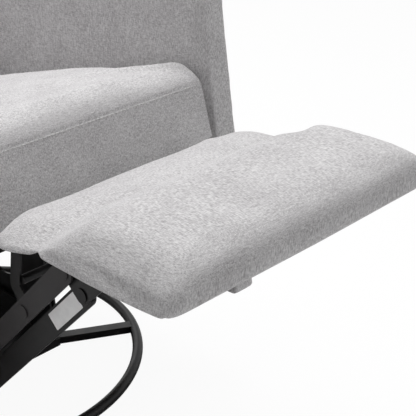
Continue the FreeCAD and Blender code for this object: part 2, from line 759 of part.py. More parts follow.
def seat_pieces():
    """Rails, webbing, front panel, hinges and the crowned cushion."""
    rail_low = "-seat_rail_low"
    rail_high = "-seat_rail_high"
    inner = "(seat_frame_half - seat_rail_thick)"
    for label, side in SIDES.items():
        near = start_of(inner, "seat_frame_half", side)
        far = start_of("seat_frame_half", inner, side)
        rail = block("rail_" + label, (near, far), ("front_panel_thick", "seat_rail_end"),
                     (rail_low, rail_high))
        on_seat(rail)
        place_along(rail, "front_panel_thick", rail_low)
        node(rail, "seat_rail_" + label)
        tip = ("seat_pivot_y - hinge_reach", "seat_pivot_z + hinge_rise", "0.8 * hinge_eye")
        hinge = slab("hinge_" + label, [SEAT_PIVOT + ("hinge_eye",), tip], [SEAT_PIVOT + (PIN_HOLE,)],
                     "seat_frame_half", "seat_frame_half + plate_thick", side)
        node(hinge, "seat_hinge_" + label)
    rear = block("rail_rear", ("-" + inner, inner), ("0", "seat_rail_thick"), ("-rear_rail_low", rail_high))
    on_seat(rear)
    place_along(rear, "seat_rail_end - seat_rail_thick", "-rear_rail_low")
    node(rear, "seat_rail_rear")
    straps = []
    for index in range(int(num("webbing_count"))):
        middle = "((%d - (webbing_count - 1) / 2) * webbing_pitch)" % index
        strap = block("webbing_%d" % index,
                      (middle + " - webbing_width / 2", middle + " + webbing_width / 2"),
                      ("0", "seat_rail_end - front_panel_thick"), ("0", "webbing_thick"))
        on_seat(strap)
        place_along(strap, "front_panel_thick", rail_high)
        straps.append(strap)
    node(group("webbing", straps), "seat_webbing")
    half = "(seat_width / 2)"
    panel = new_body("front_panel")
    sketch = new_sketch(panel, "XZ_Plane", "-front_panel_thick")
    drop = "-front_panel_drop"
    top = "-(seat_cushion_drop + soft_gap)"
    outline(sketch, [("-seat_frame_half", "-front_panel_low"), ("seat_frame_half", "-front_panel_low"),
                     ("seat_frame_half", drop), (half, drop), (half, top), ("-" + half, top),
                     ("-" + half, drop), ("-seat_frame_half", drop)])
    pad(panel, sketch, "front_panel_thick - soft_gap")
    on_seat(panel)
    node(panel, "seat_front_panel")
    cushion = new_body("cushion")
    low = "-seat_cushion_drop"
    # Each slice: depth, side height as a share of the crown, arch, waist.
    stations = (("0", 0, "seat_edge_crown", 0), ("0.05 * seat_depth", 0.55, "seat_edge_crown", 0.3),
                ("0.16 * seat_depth", 0.78, "seat_top_crown", 0.8),
                ("0.5 * seat_depth", 0.8, "seat_top_crown", 1),
                ("0.9 * seat_depth", 0.75, "seat_top_crown", 0.6),
                ("seat_depth", 0.5, "seat_edge_crown", 0))
    sections = []
    for depth, share, arch, waist in stations:
        side_top = "seat_crown * %s" % share
        wide = "(%s - %s * seat_waist - side_bulge)" % (half, waist)
        sections.append(section(cushion, "XZ_Plane", "-(%s)" % depth,
                                [("-" + wide, low), (wide, low), (wide, side_top), ("-" + wide, side_top)],
                                {1: "side_bulge", 2: arch, 3: "side_bulge"}))
    loft(cushion, sections)
    on_seat(cushion)
    node(cushion, "seat_cushion")


def place_along(item, depth, height):
    """Slide a seat piece along the pitched plane to its depth and height."""
    spot = (depth, height)
    bind(item, "Placement.Base.y",
         "seat_front_y + (%s) * cos(seat_pitch) + (%s) * sin(seat_pitch)" % spot)
    bind(item, "Placement.Base.z",
         "seat_front_z - (%s) * sin(seat_pitch) + (%s) * cos(seat_pitch)" % spot)


def on_back(item, run="0", depth="0"):
    """Stand a piece on the leaning back plane: Z runs up it, Y to the rear."""
    place(item, "back_pivot_y + (%s) * sin(back_lean) + (%s) * cos(back_lean)" % (run, depth),
          "back_pivot_z + (%s) * cos(back_lean) - (%s) * sin(back_lean)" % (run, depth), "-back_lean")


def back_pieces():
    """Posts, board, hinge brackets and the padded cover drawn over them."""
    post_in = "(%s - back_post_thick)" % MIDDLE_IN
    deep = "-back_post_depth / 2"
    for label, side in SIDES.items():
        near = start_of(post_in, MIDDLE_IN, side)
        far = start_of(MIDDLE_IN, post_in, side)
        post = block("post_" + label, (near, far), ("0", "back_post_depth"), ("back_start", "back_post_top"))
        on_back(post, "back_start", deep)
        node(post, "back_post_" + label)
        bracket = slab("bracket_" + label,
                       [("0", "0", "hinge_eye"), ("0", "back_bracket_length", "0.8 * hinge_eye")],
                       [("0", "0", PIN_HOLE)], MIDDLE_IN, MIDDLE_OUT, side)
        on_back(bracket)
        node(bracket, "back_bracket_" + label)
    board = block("back_panel", ("-" + post_in, post_in), ("0", "back_board_thick"),
                  ("back_start", "back_post_top"))
    on_back(board, "back_start", "-back_board_thick / 2")
    node(board, "back_board")
    cover = new_body("back_cover")
    half = "(back_width / 2)"
    # Each slice: run up the back, front, rear, how far the front arches, waist.
    stations = (("back_start", "0.7 * back_front", "back_rear", 0.4, 0),
                ("0.2 * back_length", "0.97 * back_front", "back_rear", 0.9, 0.8),
                ("0.4 * back_length", "back_front", "back_rear", 1, 1),
                ("0.7 * back_length", "0.9 * back_front", "0.96 * back_rear", 0.8, 1),
                ("0.93 * back_length", "0.8 * back_front", "0.86 * back_rear", 0.5, 0.4),
                ("back_length", "back_front - back_top_taper", "back_rear - back_top_taper", 0.2, 1.5))
    sections = []
    for run, front, rear, arch, waist in stations:
        wide = "(%s - %s * back_waist - side_bulge)" % (half, waist)
        crown = "%s * back_lumbar" % arch
        shown = "-(%s - %s)" % (front, crown)
        sections.append(section(cover, "XY_Plane", run,
                                [("-" + wide, shown), (wide, shown), (wide, rear), ("-" + wide, rear)],
                                {0: crown, 1: "side_bulge", 2: "side_bulge", 3: "side_bulge"}))
    loft(cover, sections)
    hollow = new_sketch(cover, "XY_Plane", "back_start")
    room = "(%s + pin_head_thick + glide_gap)" % MIDDLE_OUT
    reach = "(back_post_depth / 2 + soft_gap)"
    step = "(%s - soft_gap)" % post_in
    slim = "(back_board_thick / 2 + soft_gap)"
    half_slot = [(step, "-" + slim), (step, "-" + reach), (room, "-" + reach),
                 (room, reach), (step, reach), (step, slim)]
    outline(hollow, half_slot + [("-(%s)" % x, y) for x, y in half_slot[::-1]])
    pocket(cover, hollow, "back_post_top + soft_gap - back_start", upward=True)
    on_back(cover)
    node(cover, "back_cover")


def linkage_pieces():
    """Both sides of the footrest linkage: cranks, main links, lower links and
    stays. The rivets belong to the outer plate of each joint."""
    middle = (MIDDLE_IN, MIDDLE_OUT)
    for label, side in SIDES.items():
        crank = slab("crank_" + label, [ELBOW + ("crank_half",), REAR_PIVOT + ("crank_half + glide_gap",)],
                     [REAR_PIVOT + (PIN_HOLE,), ELBOW + (PIN_HOLE,)], *middle, side)
        horn = new_sketch(crank, "YZ_Plane", start_of(*middle, side))
        hull(horn, [LOWER_ELBOW + ("crank_half",), ELBOW + ("crank_half",)])
        circles(horn, [ELBOW], PIN_HOLE)
        pad(crank, horn, "plate_thick")
        rivets(crank, [LOWER_ELBOW], MIDDLE_IN, side)
        node(crank, "footrest_crank_" + label)
        ends = [point + ("main_link_half",) for point in (ELBOW, PAD_PIVOT)]
        main = slab("main_link_" + label, ends, [], OUTER_IN, "side_out", side)
        horn = new_sketch(main, "YZ_Plane", start_of(OUTER_IN, "side_out", side))
        hull(horn, [ELBOW + ("stay_eye",), TAIL + ("stay_eye",)])
        pad(main, horn, "plate_thick")
        rivets(main, [TAIL, ELBOW, STRAP_PIVOT, PAD_PIVOT], OUTER_IN, side)
        node(main, "footrest_main_link_" + label)
        ends = [point + ("lower_link_half",) for point in (LOWER_ELBOW, LOWER_PAD_PIVOT)]
        holes = [point + (PIN_HOLE,) for point in (LOWER_ELBOW, LOWER_PAD_PIVOT)]
        lower = slab("lower_link_" + label, ends, holes, INNER_IN, INNER_OUT, side)
        node(lower, "footrest_lower_link_" + label)
        holes = [STAY_PIVOT + (PIN_HOLE,), TAIL + ("pin_radius + stay_hole_room",)]
        ends = [TAIL + ("stay_eye",), STAY_PIVOT + ("stay_half",)]
        stay = slab("stay_" + label, ends, holes, *middle, side)
        node(stay, "footrest_stay_" + label)


def pad_section(body, offset, inset):
    """One slice across the pad: flat below, round in front, rolled behind."""
    low = "pad_bottom"
    high = "pad_bottom + pad_thick - pad_crown - 0.35 * (%s)" % inset
    front = "pad_front_y + pad_nose + %s" % inset
    rear = "pad_rear_y - 0.5 * (%s)" % inset
    points = [(front, low), (rear + " - pad_heel", low), (rear, low + " + pad_heel"),
              (rear + " - pad_roll", high), (front, high)]
    return section(body, "YZ_Plane", offset, points,
                   {2: "pad_roll_bulge", 3: "pad_crown", 4: "pad_nose_bulge"})


def pad_pieces():
    """Footrest pad: board, brackets and the rounded cushion."""
    half = "(pad_width / 2)"
    cushion = new_body("pad_cushion")
    inner = "(%s - pad_corner)" % half
    stations = (("-" + half, "pad_corner"), ("-" + inner, "0.2 * pad_corner"), ("0", "0"),
                (inner, "0.2 * pad_corner"), (half, "pad_corner"))
    loft(cushion, [pad_section(cushion, x, inset) for x, inset in stations])
    rear = "pad_rear_y - pad_board_inset"
    front = "pad_front_y + 1.4 * pad_board_inset"
    wide = "(%s - pad_board_inset)" % half
    recess = new_sketch(cushion, "XY_Plane", "pad_bottom")
    rectangle(recess, wide + " + soft_gap", front + " - soft_gap", rear + " + soft_gap")
    pocket(cushion, recess, "pad_board_thick + soft_gap", upward=True)
    node(cushion, "pad_cushion")
    board = block("board", ("-" + wide, wide), (front, rear),
                  ("pad_bottom", "pad_bottom + pad_board_thick"))
    node(board, "pad_board")
    level = "pad_bottom - bracket_edge"
    for label, side in SIDES.items():
        heel = ("%s - bracket_heel" % LOWER_PAD_PIVOT[0], level, "bracket_edge")
        corners = [heel, LOWER_PAD_PIVOT + ("bracket_eye",), PAD_PIVOT + ("bracket_eye",)]
        bracket = slab("pad_bracket_" + label, corners, [PAD_PIVOT + (PIN_HOLE,)],
                       MIDDLE_IN, MIDDLE_OUT, side)
        leg = new_sketch(bracket, "YZ_Plane", start_of(MIDDLE_IN, MIDDLE_OUT, side))
        toe_half = "bracket_edge - pin_fit"
        hull(leg, [("pad_front_y + bracket_toe", level, toe_half),
                   (heel[0] + " + pin_head", level, toe_half)])
        pad(bracket, leg, "plate_thick")
        rivets(bracket, [LOWER_PAD_PIVOT], MIDDLE_IN, side)
        node(bracket, "pad_bracket_" + label)


def rectangle(sketch, half, front, rear):
    """A rectangle that is even about the chair's middle."""
    outline(sketch, [("-(%s)" % half, front), (half, front), (half, rear), ("-(%s)" % half, rear)])


def on_flap(item):
    """Lay a piece on the flap's sloping plane: Y to the rear, Z up from it."""
    place(item, "flap_rear_y", "flap_rear_z", "-flap_slope")


def flap_section(body, offset, rear, thick):
    """One slice across the flap: nose in front, rounded rear edge, soft top."""
    half = "(%s) / 2" % thick
    low = "-(%s)" % half
    front = "-flap_depth + flap_nose_bulge"
    back = "-(%s) - flap_rear_bulge" % rear
    return section(body, "YZ_Plane", offset, [(front, low), (back, low), (back, half), (front, half)],
                   {1: "0.28 * (%s)" % thick, 2: "flap_top_bulge", 3: "flap_nose_bulge"})


def flap_pieces():
    """Padded flap that fills the gap between seat and pad, and its board."""
    cover = new_body("flap_cover")
    corner = "(flap_half - flap_straight)"
    near_edge = "0.7 * flap_thick + 0.3 * flap_edge_thick"
    stations = (("flap_half", "flap_corner", "flap_edge_thick"),
                ("flap_half - 0.2 * %s" % corner, "0.42 * flap_corner", near_edge),
                ("flap_straight", "0", "flap_thick"))
    sections = [flap_section(cover, "-(%s)" % x, rear, deep) for x, rear, deep in stations]
    sections += [flap_section(cover, x, rear, deep) for x, rear, deep in stations[::-1]]
    loft(cover, sections)
    under = new_sketch(cover, "XY_Plane", "-flap_thick / 2")
    rectangle(under, "flap_board_half + soft_gap", "-flap_board_front - soft_gap",
              "-flap_board_rear + soft_gap")
    pocket(cover, under, "flap_board_thick + soft_gap", upward=True)
    on_flap(cover)
    node(cover, "flap_cover")
    board = new_body("flap_board_body")
    sketch = new_sketch(board, "XY_Plane", "-flap_thick / 2")
    rectangle(sketch, "flap_board_half", "-flap_board_front", "-flap_board_rear")
    pad(board, sketch, "flap_board_thick")
    on_flap(board)
    node(board, "flap_board")


def flap_straps():
    """Bent straps that hold the flap's board to the pad's board."""
    under_flap = "-(flap_thick / 2 + strap_half)"
    under_pad = "(pad_bottom - strap_half)"
    start = "(pad_rear_y - strap_lap_start)"
    bends = [("(%s - strap_lap)" % start, under_pad), (start, under_pad),
             flap_point("-strap_front", under_flap), flap_point("-strap_rear", under_flap)]
    near = "(seat_frame_half - strap_inset)"
    far = "(%s + plate_thick)" % near
    for label, side in SIDES.items():
        node(bent_strip("strap_" + label, bends, "strap_half", near, far, side), "flap_strap_" + label)


def bent_strip(name, bends, half, near, far, side):
    """A flat strip that follows several bend points in the YZ plane."""
    strip = slab(name, [point + (half,) for point in bends[:2]], [], near, far, side)
    for first, second in zip(bends[1:], bends[2:]):
        run = new_sketch(strip, "YZ_Plane", start_of(near, far, side))
        hull(run, [first + (half,), second + (half,)])
        pad(strip, run, "(%s) - (%s)" % (far, near))
    return strip


def flap_point(depth, height):
    """A point of the flap's sloping plane, in the YZ plane."""
    return ("(flap_rear_y + (%s) * cos(flap_slope) + (%s) * sin(flap_slope))" % (depth, height),
            "(flap_rear_z - (%s) * sin(flap_slope) + (%s) * cos(flap_slope))" % (depth, height))


def flap_supports():
    """Bent arms on the main links that the flap rests on, and their tube."""
    knee = ("(%s + support_knee_y)" % STRAP_PIVOT[0], "(%s + support_knee_z)" % STRAP_PIVOT[1])
    tube = ("%s + flap_tube_y" % STRAP_PIVOT[0], "%s + flap_tube_z" % STRAP_PIVOT[1])
    foot = flap_point("-support_foot", "-(flap_thick / 2 + flap_top_bulge + support_half)")
    for label, side in SIDES.items():
        arm = slab("support_" + label, [STRAP_PIVOT + ("support_eye",), knee + ("support_half",)],
                   [STRAP_PIVOT + (PIN_HOLE,)], MIDDLE_IN, MIDDLE_OUT, side)
        upper = new_sketch(arm, "YZ_Plane", start_of(MIDDLE_IN, MIDDLE_OUT, side))
        hull(upper, [knee + ("support_half",), foot + ("support_half",)])
        pad(arm, upper, "plate_thick")
        node(arm, "flap_support_" + label)
    bar = cross_cylinder("flap_bar", "flap_tube / 2", "-" + MIDDLE_IN, MIDDLE_IN, tube[0], tube[1])
    node(bar, "flap_cross_tube")


def finish():
    """Check every object, then write each sub-part to its own file."""
    doc.recompute()
    for item in doc.Objects:
        if "Invalid" in item.State or "Error" in item.State:
            raise ValueError("%s (%s) failed" % (item.Label, item.Name))
    for item in nodes:
        if item.Shape.isNull() or not item.Shape.isValid():
            raise ValueError("%s has no valid shape" % item.Label)
    os.makedirs("parts", exist_ok=True)
    for item in nodes:
        item.Shape.exportStep(os.path.join("parts", item.Label + ".step"))
        print(item.Label, len(item.Shape.Solids), round(item.Shape.Volume / 1000, 1))


base_pieces()
swivel_pieces()
glide_links()
chassis_pieces()
arm_pieces()
seat_pieces()
back_pieces()
linkage_pieces()
pad_pieces()
flap_pieces()
flap_straps()
flap_supports()
finish()
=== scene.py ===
"""Looks of the swivel glider recliner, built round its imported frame.

Metres, in the frame's own axes: the floor is at zero, +Z is up and the chair
faces -Y. Each padded cover starts from the solids that it replaces or wraps, is
blown up as cloth and then creased along its seams.
"""

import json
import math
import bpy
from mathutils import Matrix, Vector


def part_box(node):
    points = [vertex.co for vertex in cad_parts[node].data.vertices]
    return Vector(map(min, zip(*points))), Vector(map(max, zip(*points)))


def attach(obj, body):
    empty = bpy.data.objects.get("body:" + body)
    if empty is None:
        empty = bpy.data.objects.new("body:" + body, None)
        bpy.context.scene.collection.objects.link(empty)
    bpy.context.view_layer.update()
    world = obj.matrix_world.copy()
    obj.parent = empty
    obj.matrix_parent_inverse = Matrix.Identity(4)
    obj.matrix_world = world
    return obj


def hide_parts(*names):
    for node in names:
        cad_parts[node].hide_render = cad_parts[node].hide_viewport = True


bl_info = {
    "name": "Swivel glider recliner",
    "version": (1, 0, 0),
    "blender": (4, 5, 0),
    "location": "View3D > Sidebar > Recliner",
    "description": "Covers, stitching, finishes and stage for a swivel glider recliner",
    "category": "Object",
}

import bpy
import numpy as np
from bpy.props import FloatProperty, PointerProperty, StringProperty
from mathutils import Matrix, Vector
from mathutils.bvhtree import BVHTree

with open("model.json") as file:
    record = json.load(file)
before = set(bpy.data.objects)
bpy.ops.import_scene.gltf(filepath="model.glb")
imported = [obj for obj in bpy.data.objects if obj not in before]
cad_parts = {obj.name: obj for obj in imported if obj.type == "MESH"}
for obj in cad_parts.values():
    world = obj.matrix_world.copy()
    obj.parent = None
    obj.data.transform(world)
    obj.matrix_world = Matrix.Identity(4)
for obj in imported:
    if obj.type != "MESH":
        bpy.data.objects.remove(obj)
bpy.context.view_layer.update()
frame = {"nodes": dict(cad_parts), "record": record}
SIDES = ("left", "right")
CLOTH_FRAMES = 20
# Rows, from front to rear, in which a cover's profile is read.
PROFILE_ROWS = 40
# Points of a copied solid that are closer than this are merged.
WELD = 0.00001
# A point faces down where its normal's height is below this.
DOWNWARD = -0.7
# The middle of the seam on the front edge of the seat.
SEAT_SEAM = (0.0, -0.343, 0.541)
# The middle of the sticker, along the right lower link.
LABEL_Y, LABEL_Z = -0.5635, 0.4190
# The photograph's view: a pinhole camera that was fitted to the edges in it.
VIEW_PLACE = Vector((-0.92412, -1.45957, 1.09154))
VIEW_AIM = Vector((0.65930, 0.61757, -0.42888))
VIEW_LENS = 94.19
VIEW_SENSOR = 36
VIEW_FAR = 60


def length(name, description, default):
    """A size in metres that a user may change."""
    return FloatProperty(name=name, description=description, default=default, unit="LENGTH", precision=4)


def angle(name, description, degrees):
    """An angle, given in degrees."""
    return FloatProperty(name=name, description=description, default=math.radians(degrees), unit="ROTATION")


def fraction(name, description, default):
    """A share of a size."""
    return FloatProperty(name=name, description=description, default=default, subtype="FACTOR")


def colour(name, description, default):
    """An sRGB colour as six hex digits."""
    return StringProperty(name=name, description=description, default=default)


class ReclinerSizes(bpy.types.PropertyGroup):
    """Sizes of the covers, seams and trim."""
    voxel: length("Voxel", "Mesh size that a cover is rebuilt at", 0.0062)
    seat_swell: length("Seat swell", "How far the seat cover may blow out", 0.022)
    back_swell: length("Back swell", "How far the back cover may blow out", 0.022)
    arm_swell: length("Arm swell", "How far an arm cover may blow out", 0.006)
    pad_swell: length("Pad swell", "How far the footrest cover may blow out", 0.005)
    valley: length("Valley", "Radius of the valley between pad and flap", 0.009)
    seat_pitch: angle("Seat pitch", "Slope of the seat's plane down to the rear", 16)
    back_lean: angle("Back lean", "Lean of the back's plane", 30)
    end_roll: length("End roll", "Width over which the footrest's ends roll down", 0.06)
    end_drop: fraction("End drop", "Share of its height that the footrest loses at its ends", 0.5)
    front_roll: length("Front roll", "Depth over which the seat's top rolls down to its front seam", 0.045)
    crest_rise: length("Crest rise", "Height of the seat's front roll above its seam", 0.045)
    seat_rise: length("Seat rise", "Height of the seat's rear above the level of its front seam", 0.054)
    profile_half: length("Profile half", "Half width of the middle that profiles are read from", 0.1)
    crest_run: length("Crest run", "Distance behind the front roll to the rear's height", 0.2)
    front_bulge: length("Front bulge", "How far the seat's front stands out from its panel", 0.0015)
    seam_depth: length("Seam depth", "How far a seam draws the cloth in", 0.0016)
    seam_width: length("Seam width", "Half width of the valley at a seam", 0.0035)
    stitch_length: length("Stitch length", "Length of one top stitch", 0.006)
    stitch_pitch: length("Stitch pitch", "Distance from stitch to stitch", 0.0072)
    stitch_thread: length("Thread", "Thickness of the sewing thread", 0.0016)
    link_rise: angle("Link rise", "Slope of the footrest's links at rest", 46)
    label_length: length("Label length", "Length of the blank sticker", 0.074)
    label_width: length("Label width", "Width of the blank sticker", 0.023)
    label_thick: length("Label thickness", "Thickness of the blank sticker", 0.0003)
    label_corner: length("Label corner", "Rounding of the sticker's corners", 0.0015)


class ReclinerColours(bpy.types.PropertyGroup):
    """Colours of the finishes, as sRGB hex values."""
    yarn_light: colour("Light yarn", "Palest yarn of the cover", "#E0DFDF")
    yarn_mid: colour("Middle yarn", "Main yarn of the cover", "#C6C4C5")
    yarn_dark: colour("Dark yarn", "Darkest flecks of the cover", "#9C999B")
    # Thread: its paleness is partly the thread's own colour and partly a painted highlight along the seat
    # seam's ridge; the darker colour between its twists is painted shade.
    thread: colour("Thread", "Sewing thread", "#E4E3E2")
    thread_dark: colour("Thread dark", "Sewing thread between its twists", "#BDBCBC")
    enamel_dark: colour("Enamel dark", "Black enamel in its hollows", "#0B0A0A")
    enamel_light: colour("Enamel light", "Black enamel where it is thin", "#151314")
    link_dark: colour("Link dark", "Main link's satin coat", "#1E1B1C")
    link_light: colour("Link light", "Main link's coat where it is thin", "#2B2829")
    zinc: colour("Zinc", "Zinc-plated bolts and races", "#B7BABD")
    zinc_dark: colour("Zinc dark", "Tool lines in the zinc", "#9EA2A6")
    veneer_light: colour("Veneer light", "Pale wood of the boards", "#D0AA78")
    veneer_dark: colour("Veneer dark", "Grain lines of the boards", "#A67C4C")
    webbing: colour("Webbing", "Elastic webbing under the seat", "#191919")
    # Painted shade in the grooves between the webbing's ribs.
    webbing_dark: colour("Webbing dark", "Webbing between its ribs", "#0E0E0E")
    label: colour("Label", "Blank sticker", "#F6F5F5")
    label_dark: colour("Label dark", "Sticker where the steel shows through", "#EDECEC")
    floor: colour("Floor", "Studio floor", "#FBFBFB")


def sizes():
    """The sizes that are set in this scene."""
    return bpy.context.scene.recliner_sizes


def colours():
    """The colours that are set in this scene."""
    return bpy.context.scene.recliner_colours


def linear(hex_colour):
    """An sRGB hex value as linear red, green, blue and alpha."""
    parts = [int(hex_colour[i:i + 2], 16) / 255 for i in (1, 3, 5)]
    return [c / 12.92 if c <= 0.04045 else ((c + 0.055) / 1.055) ** 2.4 for c in parts] + [1.0]


def add_node(tree, kind, inputs=None, **settings):
    """Add a shader node with its settings; an input is a value or a socket to link."""
    made = tree.nodes.new(kind)
    for name, value in settings.items():
        setattr(made, name, value)
    for key, value in (inputs or {}).items():
        if isinstance(value, bpy.types.NodeSocket):
            tree.links.new(value, made.inputs[key])
        else:
            made.inputs[key].default_value = value
    return made


def new_material(name):
    """An empty material with its shader: (material, node tree, shader)."""
    material = bpy.data.materials.new(name)
    material.use_nodes = True
    return material, material.node_tree, material.node_tree.nodes["Principled BSDF"]


def set_shader(shader, **values):
    """Set plain values on the shader's own sockets, named with underscores."""
    for name, value in values.items():
        shader.inputs[name.replace("_", " ")].default_value = value


def blend_ramp(tree, factor, stops):
    """A colour ramp through (position, hex colour) stops."""
    ramp = add_node(tree, "ShaderNodeValToRGB", {"Fac": factor})
    elements = ramp.color_ramp.elements
    while len(elements) < len(stops):
        elements.new(0.5)
    for element, (position, shade) in zip(elements, stops):
        element.position = position
        element.color = linear(shade)
    return ramp.outputs["Color"]


def heather_weave():
    """Polyester linen-look cloth, plain woven from mottled slub yarn: the eye
    sees pale and dark flecks that run with the yarns both ways, and no gloss.
    The flecks are drawn about twice as coarse as the yarn so that they show."""
    fleck_width = 0.0009
    fleck_length = 0.0065
    shade_size = 0.06
    shade_depth = 0.08
    # How strongly the yarns along X, Y and Z show: the warp runs down and forward.
    strength = (0.5, 0.8, 1.0)
    material, tree, shader = new_material("heather_weave")
    place = add_node(tree, "ShaderNodeTexCoord")
    facing = add_node(tree, "ShaderNodeSeparateXYZ", {0: place.outputs["Normal"]})
    total = weight = None
    for axis in range(3):
        # Yarns along one axis, which show on the faces that this axis lies in.
        stretch = [1 / fleck_width] * 3
        stretch[axis] = 1 / fleck_length
        lay = add_node(tree, "ShaderNodeMapping",
                       {"Vector": place.outputs["Object"], "Scale": stretch, "Location": (axis, 0, 0)})
        yarn = add_node(tree, "ShaderNodeTexNoise",
                        {"Vector": lay.outputs[0], "Scale": 1.0, "Detail": 2.0, "Roughness": 0.6})
        square = add_node(tree, "ShaderNodeMath", {0: facing.outputs[axis], 1: facing.outputs[axis]},
                          operation="MULTIPLY")
        shown = add_node(tree, "ShaderNodeMath",
                         {0: square.outputs[0], 1: -strength[axis], 2: strength[axis]},
                         operation="MULTIPLY_ADD")
        if total is None:
            total = add_node(tree, "ShaderNodeMath", {0: yarn.outputs["Fac"], 1: shown.outputs[0]},
                             operation="MULTIPLY")
            weight = shown
        else:
            total = add_node(tree, "ShaderNodeMath",
                             {0: yarn.outputs["Fac"], 1: shown.outputs[0], 2: total.outputs[0]},
                             operation="MULTIPLY_ADD")
            weight = add_node(tree, "ShaderNodeMath", {0: weight.outputs[0], 1: shown.outputs[0]},
                              operation="ADD")
    flecks = add_node(tree, "ShaderNodeMath", {0: total.outputs[0], 1: weight.outputs[0]},
                      operation="DIVIDE")
    shade = add_node(tree, "ShaderNodeTexNoise",
                     {"Vector": place.outputs["Object"], "Scale": 1 / shade_size, "Detail": 1.0})
    drift = add_node(tree, "ShaderNodeMath", {0: shade.outputs["Fac"], 1: shade_depth, 2: -shade_depth / 2},
                     operation="MULTIPLY_ADD")
    mixed = add_node(tree, "ShaderNodeMath", {0: flecks.outputs[0], 1: drift.outputs[0]}, operation="ADD")
    tones = colours()
    cloth = blend_ramp(tree, mixed.outputs[0],
                       [(0.38, tones.yarn_dark), (0.5, tones.yarn_mid), (0.61, tones.yarn_light)])
    tree.links.new(cloth, shader.inputs["Base Color"])
    bump = add_node(tree, "ShaderNodeBump",
                    {"Height": flecks.outputs[0], "Strength": 0.35, "Distance": 0.001})
    tree.links.new(bump.outputs[0], shader.inputs["Normal"])
    set_shader(shader, Roughness=0.92, Specular_IOR_Level=0.2, Sheen_Weight=0.15, Sheen_Roughness=0.5)
    return material


def enamel(name, dark, light, roughness, gleam):
    """Baked black enamel on pressed steel: a semi-gloss skin with a fine
    orange-peel ripple that breaks up its reflections."""
    ripple_size = 0.0025
    patch_size = 0.04
    smoother, rougher = roughness - 0.06, roughness + 0.08
    material, tree, shader = new_material(name)
    place = add_node(tree, "ShaderNodeTexCoord")
    patches = add_node(tree, "ShaderNodeTexNoise",
                       {"Vector": place.outputs["Object"], "Scale": 1 / patch_size, "Detail": 3.0})
    skin = blend_ramp(tree, patches.outputs["Fac"], [(0.35, dark), (0.7, light)])
    tree.links.new(skin, shader.inputs["Base Color"])
    gloss = add_node(tree, "ShaderNodeMapRange",
                     {"Value": patches.outputs["Fac"], "From Min": 0.3, "From Max": 0.7,
                      "To Min": smoother, "To Max": rougher})
    tree.links.new(gloss.outputs[0], shader.inputs["Roughness"])
    ripple = add_node(tree, "ShaderNodeTexNoise",
                      {"Vector": place.outputs["Object"], "Scale": 1 / ripple_size, "Detail": 1.0})
    bump = add_node(tree, "ShaderNodeBump",
                    {"Height": ripple.outputs["Fac"], "Strength": 0.12, "Distance": 0.0004})
    tree.links.new(bump.outputs[0], shader.inputs["Normal"])
    set_shader(shader, Specular_IOR_Level=gleam)
    return material


def black_enamel():
    """The coat of the base, the plates and most links: near black, with a low gleam."""
    return enamel("black_enamel", colours().enamel_dark, colours().enamel_light, roughness=0.36, gleam=0.22)


def satin_enamel():
    """The coat of the footrest's main links: a little paler and rougher than the rest."""
    return enamel("satin_enamel", colours().link_dark, colours().link_light, roughness=0.46, gleam=0.32)


def zinc_plate():
    """Zinc-plated turned steel: pale, faintly blue, with fine tool lines."""
    line_pitch = 0.0012
    line_length = 0.05
    material, tree, shader = new_material("zinc_plate")
    place = add_node(tree, "ShaderNodeTexCoord")
    lay = add_node(tree, "ShaderNodeMapping",
                   {"Vector": place.outputs["Object"],
                    "Scale": (1 / line_length, 1 / line_length, 1 / line_pitch)})
    lines = add_node(tree, "ShaderNodeTexNoise", {"Vector": lay.outputs[0], "Scale": 1.0, "Detail": 2.0})
    tone = blend_ramp(tree, lines.outputs["Fac"], [(0.3, colours().zinc_dark), (0.7, colours().zinc)])
    tree.links.new(tone, shader.inputs["Base Color"])
    gloss = add_node(tree, "ShaderNodeMapRange",
                     {"Value": lines.outputs["Fac"], "From Min": 0.3, "From Max": 0.7,
                      "To Min": 0.26, "To Max": 0.42})
    tree.links.new(gloss.outputs[0], shader.inputs["Roughness"])
    set_shader(shader, Metallic=1.0)
    return material


def birch_ply():
    """Sanded birch plywood: pale veneer with long grain lines along Y."""
    grain_width = 0.004
    grain_length = 0.12
    material, tree, shader = new_material("birch_ply")
    place = add_node(tree, "ShaderNodeTexCoord")
    lay = add_node(tree, "ShaderNodeMapping",
                   {"Vector": place.outputs["Object"],
                    "Scale": (1 / grain_width, 1 / grain_length, 1 / grain_width)})
    grain = add_node(tree, "ShaderNodeTexNoise",
                     {"Vector": lay.outputs[0], "Scale": 1.0, "Detail": 4.0, "Distortion": 0.6})
    wood = blend_ramp(tree, grain.outputs["Fac"],
                      [(0.35, colours().veneer_dark), (0.6, colours().veneer_light)])
    tree.links.new(wood, shader.inputs["Base Color"])
    bump = add_node(tree, "ShaderNodeBump",
                    {"Height": grain.outputs["Fac"], "Strength": 0.15, "Distance": 0.0004})
    tree.links.new(bump.outputs[0], shader.inputs["Normal"])
    set_shader(shader, Roughness=0.62)
    return material


def elastic_webbing():
    """Woven elastic webbing: black ribs across the strap every few millimetres, with painted shade in the
    grooves between them.
    """
    rib_pitch = 0.003
    material, tree, shader = new_material("elastic_webbing")
    place = add_node(tree, "ShaderNodeTexCoord")
    ribs = add_node(tree, "ShaderNodeTexWave",
                    {"Vector": place.outputs["Object"], "Scale": math.pi / (10 * rib_pitch),
                     "Distortion": 0.4}, bands_direction="X")
    # Darker between the ribs: painted shade in the grooves.
    tone = blend_ramp(tree, ribs.outputs["Fac"], [(0.2, colours().webbing_dark), (0.8, colours().webbing)])
    tree.links.new(tone, shader.inputs["Base Color"])
    bump = add_node(tree, "ShaderNodeBump",
                    {"Height": ribs.outputs["Fac"], "Strength": 0.4, "Distance": 0.0006})
    tree.links.new(bump.outputs[0], shader.inputs["Normal"])
    set_shader(shader, Roughness=0.85)
    return material


